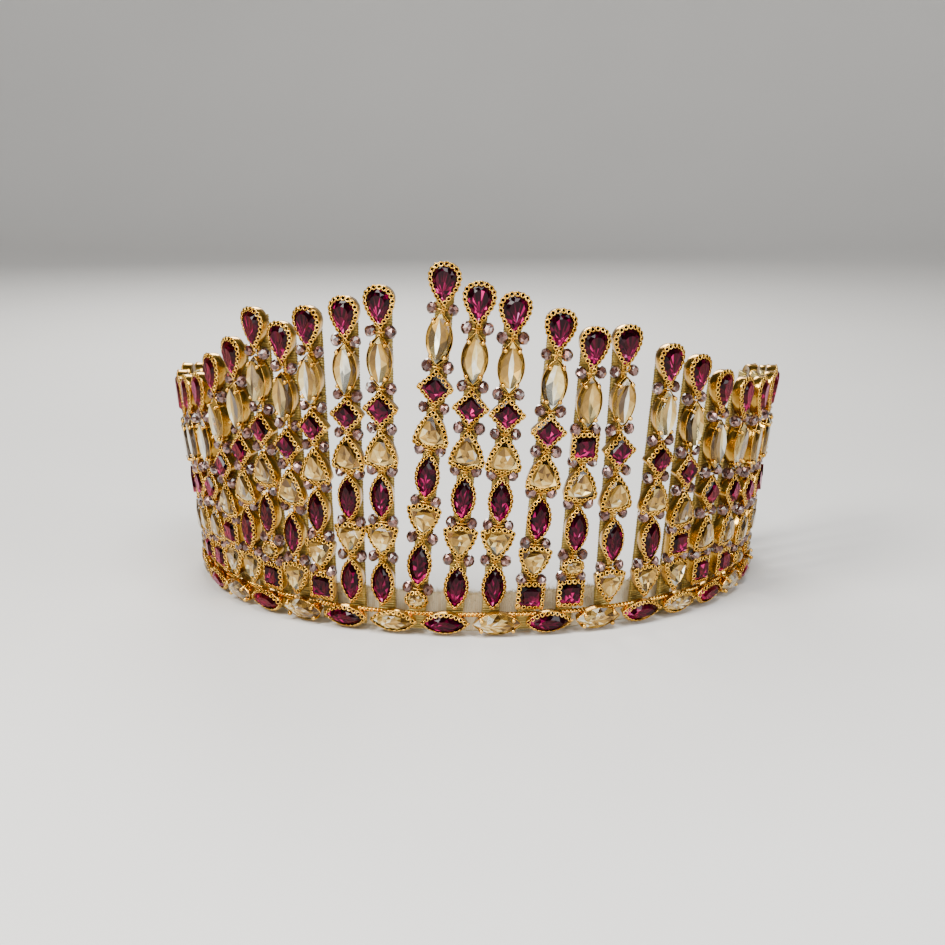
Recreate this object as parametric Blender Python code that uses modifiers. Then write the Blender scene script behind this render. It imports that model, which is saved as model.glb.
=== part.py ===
"""Flared rhinestone crown: spires of set stones standing on an open, thread-wound hoop.

Frame: +Z up, the front of the crown towards -Y, +X to the viewer's right.
Angles along the hoop are in degrees from the front, positive towards +X.
Each spire has its own flat frame: u across it, v up it, n outwards from the crown.
"""

import math

import bmesh
import bpy
from mathutils import Matrix, Vector

MM = 0.001
COLLECTION_NAME = "rhinestone_crown"

# Band: the wound hoop that stands on the table.
BAND_OUTER_RADIUS = 80.0 * MM
BAND_THICKNESS = 2.0 * MM
BAND_HEIGHT = 11.5 * MM
BAND_EDGE = 0.5 * MM
BAND_START = -107.5
BAND_END = 112.5
BAND_STEPS = 72

# Strips: the wound uprights in front of the band.
STRIP_CLEARANCE = 0.5 * MM
STRIP_WIDTH = 5.2 * MM
STRIP_THICKNESS = 1.6 * MM
STRIP_CORNER = 0.35 * MM
STRIP_FOOT = 1.0 * MM
STRIP_TOP_SETBACK = 3.0 * MM
FLARE = 8.0

# Stacks: the cupped stones sewn one above the other on each strip.
STACK_CLEARANCE = 0.3 * MM
STACK_ROW_GAP = 0.65 * MM
CUP_DEPTH = 3.2 * MM
CUP_BACK_SCALE = 0.82
DOME_HEIGHT = 1.6 * MM
DOME_SCALE = 0.5
SPINE_WIDTH = 2.2 * MM
SPINE_THICKNESS = 1.2 * MM
BEAD_RADIUS = 1.75 * MM
BEAD_OFFSET = 2.7 * MM
BEAD_DEPTH = BEAD_RADIUS + 0.05 * MM

# Base row: sideways navettes on an edging cord along the bottom of the band.
ROW_STANDOFF = 2.1 * MM
ROW_FLOOR_GAP = 0.5 * MM
ROW_TILT = 20.0
ROW_CUP_DEPTH = 2.8 * MM
ROW_STEP = 10.0
ROW_FIRST = -100.0
ROW_COUNT = 22
CORD_RADIUS = 0.8 * MM
CORD_DROP = 1.35 * MM
CORD_SETBACK = 0.9 * MM
CORD_STEPS = 63

# Kinds of stone with half width and half length over the cup.
PEAR = "pear"
LONG = "long navette"
DIAMOND = "square on its corner"
BLOCK = "square on its side"
UP = "triangle pointing up"
DOWN = "triangle pointing down"
NAVETTE = "navette"
OVAL = "oval"
STONE_HALF_SIZES = {
    PEAR: (4.8 * MM, 6.7 * MM),
    LONG: (4.0 * MM, 7.9 * MM),
    DIAMOND: (5.4 * MM, 5.6 * MM),
    BLOCK: (4.3 * MM, 4.3 * MM),
    UP: (5.3 * MM, 5.8 * MM),
    DOWN: (5.1 * MM, 5.2 * MM),
    NAVETTE: (3.75 * MM, 7.4 * MM),
    OVAL: (3.6 * MM, 2.9 * MM),
}

# Stones of a spire, named from the top down.
CENTRE = (PEAR, LONG, DIAMOND, UP, NAVETTE, DOWN, NAVETTE, OVAL)
FULL = (PEAR, LONG, DIAMOND, UP, NAVETTE, DOWN, NAVETTE)
FULL_ON_BLOCK = (PEAR, LONG, DIAMOND, UP, NAVETTE, DOWN, BLOCK)
TWO_BLOCKS = (PEAR, LONG, BLOCK, UP, NAVETTE, OVAL, BLOCK)
OVAL_ON_BLOCK = (PEAR, LONG, DIAMOND, UP, NAVETTE, OVAL, BLOCK)
MIDDLE = (PEAR, LONG, DIAMOND, UP, NAVETTE, DOWN)
LOW_MIDDLE = (PEAR, LONG, DIAMOND, UP, BLOCK, DOWN)
LOW = (PEAR, LONG, DIAMOND, UP, BLOCK)
END = (PEAR, LONG, DIAMOND, UP, OVAL)
LAST = (PEAR, LONG, DIAMOND, UP)

# Spires from the left end to the right end: angle at the foot, angle at the top, top height, stones.
SPIRES = (
    (-104.5, -105.0, 62.0, LAST),
    (-96.5, -97.0, 63.0, LAST),
    (-88.5, -88.0, 65.2, END),
    (-80.5, -79.5, 65.2, END),
    (-73.0, -71.2, 65.2, END),
    (-65.5, -63.4, 68.0, LOW),
    (-58.0, -55.2, 70.8, LOW),
    (-51.2, -48.4, 78.2, LOW_MIDDLE),
    (-44.6, -41.0, 84.6, MIDDLE),
    (-38.3, -34.3, 94.5, OVAL_ON_BLOCK),
    (-31.8, -28.4, 91.3, MIDDLE),
    (-25.4, -22.7, 96.5, FULL_ON_BLOCK),
    (-18.8, -15.6, 100.0, FULL),
    (-12.4, -9.4, 103.5, FULL),
    (-6.4, 1.6, 110.3, CENTRE),
    (1.3, 6.9, 105.0, FULL),
    (8.6, 12.5, 102.0, FULL),
    (15.6, 20.0, 97.0, FULL_ON_BLOCK),
    (23.8, 25.9, 91.5, TWO_BLOCKS),
    (32.4, 31.7, 91.5, MIDDLE),
    (40.6, 41.0, 84.8, MIDDLE),
    (48.4, 48.0, 80.5, LOW_MIDDLE),
    (56.6, 55.4, 74.5, LOW),
    (65.6, 63.8, 70.5, LOW),
    (74.4, 72.4, 68.5, END),
    (83.4, 82.0, 67.5, END),
    (92.2, 91.4, 67.0, END),
    (100.8, 100.6, 64.5, LAST),
    (109.2, 109.4, 62.5, LAST),
)

# Materials: colour, roughness, metallic.
FINISHES = {
    "cream_thread": ((0.66, 0.56, 0.36, 1.0), 0.85, 0.0),
    "gold_thread": ((0.50, 0.40, 0.13, 1.0), 0.55, 0.35),
    "ruby_in_gold": ((0.36, 0.01, 0.09, 1.0), 0.15, 0.25),
    "row_in_gold": ((0.72, 0.50, 0.20, 1.0), 0.25, 0.8),
}


def clear_scene():
    """Remove every object that is already in the scene."""
    for item in list(bpy.data.objects):
        bpy.data.objects.remove(item, do_unlink=True)


def make_material(name):
    """Make one Principled material from the finish table."""
    colour, roughness, metallic = FINISHES[name]
    material = bpy.data.materials.new(name)
    material.use_nodes = True
    shader = material.node_tree.nodes["Principled BSDF"]
    shader.inputs["Base Color"].default_value = colour
    shader.inputs["Roughness"].default_value = roughness
    shader.inputs["Metallic"].default_value = metallic
    material.diffuse_color = colour
    return material


def hoop_point(angle, radius, height):
    """Point at an angle from the front, a radius and a height."""
    turn = math.radians(angle)
    return Vector((radius * math.sin(turn), -radius * math.cos(turn), height))


def hoop_points(start, end, steps, radius, height):
    """Points evenly spaced along the hoop from one angle to another."""
    return [
        hoop_point(start + (end - start) * step / steps, radius, height)
        for step in range(steps + 1)
    ]


def finish_mesh(work, name):
    """Turn a working mesh into a named mesh with its faces pointing out."""
    bmesh.ops.recalc_face_normals(work, faces=work.faces)
    mesh = bpy.data.meshes.new(name)
    work.to_mesh(mesh)
    work.free()
    return mesh


def mesh_from_curve(name, curve):
    """Take the mesh of a filled curve and weld its caps on."""
    guide = bpy.data.objects.new(name, curve)
    bpy.context.scene.collection.objects.link(guide)
    graph = bpy.context.evaluated_depsgraph_get()
    mesh = bpy.data.meshes.new_from_object(guide.evaluated_get(graph))
    bpy.data.objects.remove(guide, do_unlink=True)
    return weld(mesh)


def poly_spline(curve, points, closed):
    """Add straight segments through the points to a curve."""
    spline = curve.splines.new("POLY")
    spline.points.add(len(points) - 1)
    for target, point in zip(spline.points, points):
        target.co = (point.x, point.y, point.z, 1.0)
    spline.use_cyclic_u = closed


def weld(mesh):
    """Merge points closer than a hundredth of a millimetre."""
    work = bmesh.new()
    work.from_mesh(mesh)
    bmesh.ops.remove_doubles(work, verts=work.verts, dist=0.01 * MM)
    bmesh.ops.dissolve_degenerate(work, edges=work.edges, dist=0.005 * MM)
    work.to_mesh(mesh)
    work.free()
    return mesh


def join_solids(name, base_mesh, other_meshes):
    """Weld overlapping solids into one closed mesh with a single exact union."""
    scene = bpy.context.scene
    base = bpy.data.objects.new(name, base_mesh)
    scene.collection.objects.link(base)
    group = bpy.data.collections.new(name + "_pieces")
    scene.collection.children.link(group)
    helpers = []
    for mesh in other_meshes:
        helper = bpy.data.objects.new(mesh.name, mesh)
        group.objects.link(helper)
        helpers.append(helper)
    union = base.modifiers.new("union", "BOOLEAN")
    union.operation = "UNION"
    union.operand_type = "COLLECTION"
    union.collection = group
    union.solver = "EXACT"
    bpy.context.view_layer.update()
    graph = bpy.context.evaluated_depsgraph_get()
    joined = bpy.data.meshes.new_from_object(base.evaluated_get(graph))
    for helper in helpers:
        bpy.data.objects.remove(helper, do_unlink=True)
    bpy.data.objects.remove(base, do_unlink=True)
    bpy.data.collections.remove(group)
    return weld(joined)


def add_object(name, mesh, material, parts, frame=None):
    """Put a finished mesh in the parts collection under its own name, in its own frame."""
    mesh.name = name
    mesh.materials.clear()
    mesh.materials.append(material)
    item = bpy.data.objects.new(name, mesh)
    if frame is not None:
        item.matrix_world = frame
    parts.objects.link(item)
    return item


def box_mesh(name, size, centre, edge=0.0):
    """Box with the given size and centre, its edges along v cut off when an edge width is given."""
    work = bmesh.new()
    bmesh.ops.create_cube(work, size=1.0)
    bmesh.ops.scale(work, vec=size, verts=work.verts)
    bmesh.ops.translate(work, vec=centre, verts=work.verts)
    if edge > 0.0:
        long_edges = [
            line for line in work.edges
            if abs(line.verts[0].co.y - line.verts[1].co.y) > size[1] / 2
        ]
        bmesh.ops.bevel(work, geom=long_edges, offset=edge, segments=1, affect="EDGES")
    return finish_mesh(work, name)


def mirrored(right_side):
    """Close an outline from its right-hand points, listed from the top tip to the bottom tip."""
    left_side = [(-x, y) for x, y in reversed(right_side) if x > 0.0]
    return right_side + left_side


def stone_outline(kind):
    """Outline of a cup seen from the front, clockwise from its top."""
    width, length = STONE_HALF_SIZES[kind]
    if kind == PEAR:
        centre = length - width
        right = [
            (0.0, length), (0.72 * width, centre + 0.70 * width), (width, centre),
            (0.80 * width, centre - 0.60 * width), (0.34 * width, -0.70 * length), (0.0, -length),
        ]
        return mirrored(right)
    if kind in (LONG, NAVETTE):
        right = [
            (0.0, length), (0.70 * width, 0.56 * length), (width, 0.0),
            (0.70 * width, -0.56 * length), (0.0, -length),
        ]
        return mirrored(right)
    if kind == DIAMOND:
        return [(0.0, length), (width, 0.0), (0.0, -length), (-width, 0.0)]
    if kind == BLOCK:
        return [(width, length), (width, -length), (-width, -length), (-width, length)]
    if kind == OVAL:
        turns = [math.radians(90.0 - 45.0 * index) for index in range(8)]
        return [(width * math.cos(turn), length * math.sin(turn)) for turn in turns]
    side = [(0.20 * width, length), (width, -0.70 * length), (0.76 * width, -length)]
    if kind == DOWN:
        side = [(x, -y) for x, y in reversed(side)]
    return mirrored(side)


def raise_face(work, face, scale, rise):
    """Extrude a face outwards, then scale the new face about its middle."""
    grown = bmesh.ops.extrude_face_region(work, geom=[face])["geom"]
    corners = [item for item in grown if isinstance(item, bmesh.types.BMVert)]
    bmesh.ops.translate(work, vec=(0.0, 0.0, rise), verts=corners)
    bmesh.ops.scale(work, vec=(scale, scale, 1.0), verts=corners)
    work.faces.remove(face)
    return [item for item in grown if isinstance(item, bmesh.types.BMFace)][0]


def stone_mesh(kind, depth, place):
    """Cup and stone as one solid: the cup's back widens to its rim, the stone rises to a flat top."""
    work = bmesh.new()
    corners = [work.verts.new((x, y, 0.0)) for x, y in stone_outline(kind)]
    bmesh.ops.scale(work, vec=(CUP_BACK_SCALE, CUP_BACK_SCALE, 1.0), verts=corners)
    back = work.faces.new(corners)
    lid = back.copy()
    rim = raise_face(work, lid, 1.0 / CUP_BACK_SCALE, depth)
    raise_face(work, rim, DOME_SCALE, DOME_HEIGHT)
    bmesh.ops.transform(work, matrix=place, verts=work.verts)
    bmesh.ops.remove_doubles(work, verts=work.verts, dist=0.001 * MM)
    return finish_mesh(work, "stone")


def bead_mesh(place):
    """Faceted bead with its points on the u, v and n axes."""
    work = bmesh.new()
    bmesh.ops.create_uvsphere(work, u_segments=4, v_segments=2, radius=BEAD_RADIUS, matrix=place)
    return finish_mesh(work, "bead")


def face_radius():
    """Radius of the front face of the strips where they meet the table."""
    return BAND_OUTER_RADIUS + STRIP_CLEARANCE + STRIP_THICKNESS


def row_rim_height():
    """Height of the middle of a base navette's rim, which clears the table by the floor gap."""
    return ROW_FLOOR_GAP + STONE_HALF_SIZES[NAVETTE][0] * math.cos(math.radians(ROW_TILT))


def row_back_height():
    """Height of the middle of a base navette's back, lifted above its rim by the dip of its face."""
    return row_rim_height() + ROW_CUP_DEPTH * math.sin(math.radians(ROW_TILT))


def row_top():
    """Height of the upper edge of the base navettes' backs."""
    half = STONE_HALF_SIZES[NAVETTE][0] * CUP_BACK_SCALE
    return row_back_height() + half * math.cos(math.radians(ROW_TILT))


def stack_foot():
    """Place of the lowest stone's lower end along v, just above the base row."""
    return (row_top() + STACK_ROW_GAP) / math.cos(math.radians(FLARE))


def spire_frame(foot_angle, top_angle, top_height):
    """Frame of one spire and its length: u across, v from foot to top, n outwards."""
    radius = face_radius()
    foot = hoop_point(foot_angle, radius, 0.0)
    top_radius = radius + top_height * math.tan(math.radians(FLARE))
    top = hoop_point(top_angle, top_radius, top_height)
    up = (top - foot).normalized()
    outward = hoop_point((foot_angle + top_angle) / 2, 1.0, 0.0)
    normal = (outward - up * outward.dot(up)).normalized()
    across = up.cross(normal)
    axes = Matrix((across, up, normal)).transposed().to_4x4()
    return Matrix.Translation(foot) @ axes, (top - foot).length


def stone_heights(kinds, length):
    """Centre of every stone along v, with equal gaps from the top down to the stack foot."""
    halves = [STONE_HALF_SIZES[kind][1] for kind in kinds]
    gap = (length - stack_foot() - 2 * sum(halves)) / (len(kinds) - 1)
    heights = []
    top = length
    for half in halves:
        heights.append(top - half)
        top -= 2 * half + gap
    return heights, gap


def build_stack(number, spire, material, parts):
    """Stones, beads and the narrow spine that ties them, as one body."""
    foot_angle, top_angle, height, kinds = spire
    frame, length = spire_frame(foot_angle, top_angle, height * MM)
    heights, gap = stone_heights(kinds, length)
    pieces = []
    for kind, centre in zip(kinds, heights):
        place = Matrix.Translation((0.0, centre, STACK_CLEARANCE))
        pieces.append(stone_mesh(kind, CUP_DEPTH, place))
    for kind, centre in zip(kinds[:-1], heights[:-1]):
        seam = centre - STONE_HALF_SIZES[kind][1] - gap / 2
        for side in (-1.0, 1.0):
            spot = (side * BEAD_OFFSET, seam, STACK_CLEARANCE + BEAD_DEPTH)
            pieces.append(bead_mesh(Matrix.Translation(spot)))
    size = (SPINE_WIDTH, heights[0] - heights[-1], SPINE_THICKNESS)
    middle = (0.0, (heights[0] + heights[-1]) / 2, STACK_CLEARANCE + BEAD_DEPTH)
    mesh = join_solids("stack", box_mesh("spine", size, middle), pieces)
    return add_object(f"stack_{number:02d}", mesh, material, parts, frame)


def build_strip(number, spire, material, parts):
    """Wound upright behind one stack."""
    foot_angle, top_angle, height, _ = spire
    frame, length = spire_frame(foot_angle, top_angle, height * MM)
    high = length - STRIP_TOP_SETBACK
    size = (STRIP_WIDTH, high - STRIP_FOOT, STRIP_THICKNESS)
    middle = (0.0, (high + STRIP_FOOT) / 2, -STRIP_THICKNESS / 2)
    mesh = box_mesh("strip", size, middle, STRIP_CORNER)
    return add_object(f"strip_{number:02d}", mesh, material, parts, frame)


def build_band(material, parts):
    """Open hoop with a flat bottom that carries the crown: its plan outline, raised and bevelled."""
    middle = BAND_HEIGHT / 2
    inner_radius = BAND_OUTER_RADIUS - BAND_THICKNESS
    outline = hoop_points(BAND_START, BAND_END, BAND_STEPS, BAND_OUTER_RADIUS, 0.0)
    outline += reversed(hoop_points(BAND_START, BAND_END, BAND_STEPS, inner_radius, 0.0))
    curve = bpy.data.curves.new("band_outline", "CURVE")
    curve.dimensions = "2D"
    curve.fill_mode = "BOTH"
    curve.extrude = middle
    poly_spline(curve, outline, True)
    mesh = mesh_from_curve("band_outline", curve)
    mesh.shade_smooth()
    mesh.set_sharp_from_angle(angle=math.radians(35.0))
    band = add_object("band", mesh, material, parts, Matrix.Translation((0.0, 0.0, middle)))
    bevel = band.modifiers.new("wound edge", "BEVEL")
    bevel.width = BAND_EDGE
    bevel.segments = 1
    bevel.limit_method = "ANGLE"
    bevel.angle_limit = math.radians(50.0)
    return band


def cord_mesh():
    """Edging cord that ties the base row together."""
    last = ROW_FIRST + ROW_STEP * (ROW_COUNT - 1)
    radius = face_radius() + ROW_STANDOFF + CORD_SETBACK
    height = row_top() - CORD_DROP
    curve = bpy.data.curves.new("cord_path", "CURVE")
    curve.dimensions = "3D"
    curve.bevel_depth = CORD_RADIUS
    curve.bevel_resolution = 1
    curve.use_fill_caps = True
    poly_spline(curve, hoop_points(ROW_FIRST, last, CORD_STEPS, radius, height), False)
    return mesh_from_curve("cord_path", curve)


def row_frame(angle):
    """Frame of one sideways navette: its length lies along the hoop and its face dips."""
    outward = hoop_point(angle, 1.0, 0.0)
    along = Vector((0.0, 0.0, 1.0)).cross(outward)
    dip = math.radians(ROW_TILT)
    normal = outward * math.cos(dip) - Vector((0.0, 0.0, math.sin(dip)))
    across = along.cross(normal)
    origin = hoop_point(angle, face_radius() + ROW_STANDOFF, row_back_height())
    axes = Matrix((across, along, normal)).transposed().to_4x4()
    return Matrix.Translation(origin) @ axes


def build_base_row(material, parts):
    """Row of sideways navettes and their edging cord, as one body."""
    pieces = [
        stone_mesh(NAVETTE, ROW_CUP_DEPTH, row_frame(ROW_FIRST + ROW_STEP * index))
        for index in range(ROW_COUNT)
    ]
    mesh = join_solids("row", cord_mesh(), pieces)
    mesh.shade_smooth()
    mesh.set_sharp_from_angle(angle=math.radians(18.0))
    return add_object("base_row", mesh, material, parts)


def centre_on_table(items):
    """Slide every part so that the bottom centre of the whole crown is the origin."""
    bpy.context.view_layer.update()
    graph = bpy.context.evaluated_depsgraph_get()
    points = []
    for item in items:
        solid = item.evaluated_get(graph)
        points.extend(item.matrix_world @ vertex.co for vertex in solid.data.vertices)
    low = Vector([min(point[axis] for point in points) for axis in range(3)])
    high = Vector([max(point[axis] for point in points) for axis in range(3)])
    shift = Vector((-(low.x + high.x) / 2, -(low.y + high.y) / 2, -low.z))
    for item in items:
        item.location += shift


def main():
    """Build every part of the crown."""
    clear_scene()
    parts = bpy.data.collections.new(COLLECTION_NAME)
    bpy.context.scene.collection.children.link(parts)
    materials = {name: make_material(name) for name in FINISHES}
    items = [build_band(materials["cream_thread"], parts)]
    items.append(build_base_row(materials["row_in_gold"], parts))
    for number, spire in enumerate(SPIRES, start=1):
        items.append(build_strip(number, spire, materials["gold_thread"], parts))
        items.append(build_stack(number, spire, materials["ruby_in_gold"], parts))
    centre_on_table(items)


main()
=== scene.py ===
"""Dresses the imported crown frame: lace cups, cut stones, beads, wound strips and hoop.

Lengths inside this script are in millimetres until a mesh is written. Angles along the hoop are
in degrees from the front, positive towards +X.
"""

from __future__ import annotations

import logging
import math
from dataclasses import dataclass, field
from enum import Enum, IntEnum
from typing import Sequence
import bpy
import numpy as np
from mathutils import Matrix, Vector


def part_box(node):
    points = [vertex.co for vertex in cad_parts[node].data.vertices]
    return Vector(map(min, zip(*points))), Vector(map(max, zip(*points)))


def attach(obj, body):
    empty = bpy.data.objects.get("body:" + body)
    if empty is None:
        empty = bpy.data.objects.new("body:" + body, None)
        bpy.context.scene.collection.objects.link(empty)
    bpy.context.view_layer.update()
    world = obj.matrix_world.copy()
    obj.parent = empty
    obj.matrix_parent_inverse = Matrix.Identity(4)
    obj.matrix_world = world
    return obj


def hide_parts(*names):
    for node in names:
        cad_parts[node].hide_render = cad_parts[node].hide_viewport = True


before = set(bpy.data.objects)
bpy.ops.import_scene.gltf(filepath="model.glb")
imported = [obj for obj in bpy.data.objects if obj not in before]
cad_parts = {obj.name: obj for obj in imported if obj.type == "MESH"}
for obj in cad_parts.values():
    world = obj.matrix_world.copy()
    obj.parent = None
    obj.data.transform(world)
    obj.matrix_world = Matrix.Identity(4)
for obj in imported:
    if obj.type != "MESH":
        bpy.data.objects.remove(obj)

LOG = logging.getLogger("crown")
MM = 0.001
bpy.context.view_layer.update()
TURN = 2.0 * math.pi
UPWARD = np.array([0.0, 0.0, 1.0])
HOOP_RADIUS = 80.0
PATH_STEPS = 2401
FOIL_COLUMNS = 5
WHITE = (1.0, 1.0, 1.0)
Triple = tuple[float, float, float]
Array = np.ndarray
Material = bpy.types.Material
Node = bpy.types.Node
Object = bpy.types.Object
Socket = bpy.types.NodeSocket


class Stone(Enum):
    """Kinds of stone, each with the half width and half length over its cup."""

    PEAR = ("pear", 4.8, 6.7)
    LONG = ("long navette", 4.0, 7.9)
    DIAMOND = ("square on its corner", 5.4, 5.6)
    BLOCK = ("square on its side", 4.3, 4.3)
    UP = ("triangle pointing up", 5.3, 5.8)
    DOWN = ("triangle pointing down", 5.1, 5.2)
    NAVETTE = ("navette", 3.75, 7.4)
    OVAL = ("oval", 3.6, 2.9)

    @property
    def half_width(self) -> float:
        """Half of the cup's width."""
        return self.value[1]

    @property
    def half_length(self) -> float:
        """Half of the cup's length."""
        return self.value[2]


class Glass(IntEnum):
    """The kinds of cut glass, numbered as the materials of a piece that holds them all."""

    RUBY = 0
    CHAMPAGNE = 1
    BEAD = 2


class Seed(IntEnum):
    """Where each kind of thing starts its seeds, so that no two things vary alike."""

    FUZZ = 5
    HOOP = 77
    LEANS = 100
    STRIPS = 200
    STONES = 1000
    BEADS = 50000
    ROW = 90000


class Rim(Enum):
    """How a cup holds its stone."""

    LACE = "lace"
    CLAWS = "claws"


GLASS_OF = {
    Stone.PEAR: Glass.RUBY,
    Stone.LONG: Glass.CHAMPAGNE,
    Stone.DIAMOND: Glass.RUBY,
    Stone.BLOCK: Glass.RUBY,
    Stone.UP: Glass.CHAMPAGNE,
    Stone.DOWN: Glass.CHAMPAGNE,
    Stone.NAVETTE: Glass.RUBY,
    Stone.OVAL: Glass.CHAMPAGNE,
}

P, L, D, B, U, W, N, O = (
    Stone.PEAR, Stone.LONG, Stone.DIAMOND, Stone.BLOCK,
    Stone.UP, Stone.DOWN, Stone.NAVETTE, Stone.OVAL,
)
CENTRE = (P, L, D, U, N, W, N, O)
FULL = (P, L, D, U, N, W, N)
FULL_ON_BLOCK = (P, L, D, U, N, W, B)
TWO_BLOCKS = (P, L, B, U, N, O, B)
OVAL_ON_BLOCK = (P, L, D, U, N, O, B)
MIDDLE = (P, L, D, U, N, W)
LOW_MIDDLE = (P, L, D, U, B, W)
LOW = (P, L, D, U, B)
END = (P, L, D, U, O)
LAST = (P, L, D, U)

# Spires from the left end to the right end: foot angle, top angle, top height, stones from the top.
SPIRES = (
    (-104.5, -105.0, 62.0, LAST),
    (-96.5, -97.0, 63.0, LAST),
    (-88.5, -88.0, 65.2, END),
    (-80.5, -79.5, 65.2, END),
    (-73.0, -71.2, 65.2, END),
    (-65.5, -63.4, 68.0, LOW),
    (-58.0, -55.2, 70.8, LOW),
    (-51.2, -48.4, 78.2, LOW_MIDDLE),
    (-44.6, -41.0, 84.6, MIDDLE),
    (-38.3, -34.3, 94.5, OVAL_ON_BLOCK),
    (-31.8, -28.4, 91.3, MIDDLE),
    (-25.4, -22.7, 96.5, FULL_ON_BLOCK),
    (-18.8, -15.6, 100.0, FULL),
    (-12.4, -9.4, 103.5, FULL),
    (-6.4, 1.6, 110.3, CENTRE),
    (1.3, 6.9, 105.0, FULL),
    (8.6, 12.5, 102.0, FULL),
    (15.6, 20.0, 97.0, FULL_ON_BLOCK),
    (23.8, 25.9, 91.5, TWO_BLOCKS),
    (32.4, 31.7, 91.5, MIDDLE),
    (40.6, 41.0, 84.8, MIDDLE),
    (48.4, 48.0, 80.5, LOW_MIDDLE),
    (56.6, 55.4, 74.5, LOW),
    (65.6, 63.8, 70.5, LOW),
    (74.4, 72.4, 68.5, END),
    (83.4, 82.0, 67.5, END),
    (92.2, 91.4, 67.0, END),
    (100.8, 100.6, 64.5, LAST),
    (109.2, 109.4, 62.5, LAST),
)


# ---------------------------------------------------------------- mesh helpers


def unit(vectors: Array) -> Array:
    """Vectors divided by their lengths.

    Args:
        vectors: any array whose last axis holds the components.

    Returns:
        The same array with every vector of length one.
    """
    return vectors / np.maximum(np.linalg.norm(vectors, axis=-1, keepdims=True), 1e-12)


def grid_quads(rows: int, columns: int, wrap: bool = True) -> Array:
    """Corner numbers of the quads between neighbouring rows of a grid of points.

    Args:
        rows: number of rows.
        columns: number of points in a row.
        wrap: True when each row is a closed loop.

    Returns:
        An array of quads, four corner numbers each.
    """
    width = columns if wrap else columns - 1
    row, column = np.meshgrid(np.arange(rows - 1), np.arange(width), indexing="ij")
    after = (column + 1) % columns
    low = row * columns
    high = low + columns
    quads = np.stack([low + column, low + after, high + after, high + column], axis=-1)
    return quads.reshape(-1, 4)


def fan(count: int, first: int, centre: int, forward: bool) -> Array:
    """Triangles from a closed loop of points to one centre point.

    Args:
        count: points in the loop.
        first: number of the loop's first point.
        centre: number of the centre point.
        forward: True to keep the loop's own direction.

    Returns:
        An array of triangles.
    """
    here = np.arange(count)
    after = (here + 1) % count
    pair = (here, after) if forward else (after, here)
    return np.stack([first + pair[0], first + pair[1], np.full(count, centre)], axis=-1)
def angles(count: int, shift: float = 0.0) -> Array:
    """Even angles once round a circle.

    Args:
        count: how many.
        shift: where the first stands, in steps.

    Returns:
        The angles, in radians.
    """
    return (np.arange(count) + shift) / count * TURN


def spokes(one: Array, two: Array, turn: Array) -> Array:
    """Directions round circles, each circle in the plane of two directions.

    Args:
        one: first direction of each circle.
        two: second direction of each circle.
        turn: angles round the circle.

    Returns:
        The directions, with an axis for the angles before the components.
    """
    return one[..., None, :] * np.cos(turn)[:, None] + two[..., None, :] * np.sin(turn)[:, None]


def capped(rings: Array, flip: bool = False) -> tuple[Array, list[Array]]:
    """Closed bar made of rings of points, with a fan over each end.

    Args:
        rings: points, ring by ring.
        flip: True when the rings run the other way round.

    Returns:
        Points and faces.
    """
    rows, around, _ = rings.shape
    last = rows * around
    faces = [
        grid_quads(rows, around),
        fan(around, 0, last, False),
        fan(around, last - around, last + 1, True),
    ]
    points = np.concatenate([rings.reshape(-1, 3), rings[[0, -1]].mean(axis=1)])
    return points, [part[:, ::-1] for part in faces] if flip else faces


def copies(faces: Array, count: int, size: int) -> Array:
    """Faces repeated over like surfaces whose points follow one another.

    Args:
        faces: faces of the first surface.
        count: how many surfaces.
        size: points in a surface.

    Returns:
        Faces of all the surfaces.
    """
    return (faces + np.arange(count)[:, None, None] * size).reshape(-1, faces.shape[1])


def new_object(name: str, data: bpy.types.ID) -> Object:
    """Make an object and put it in the scene.

    Args:
        name: its name.
        data: its mesh, lamp or camera.

    Returns:
        The object.
    """
    made = bpy.data.objects.new(name, data)
    bpy.context.scene.collection.objects.link(made)
    return made


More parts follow.
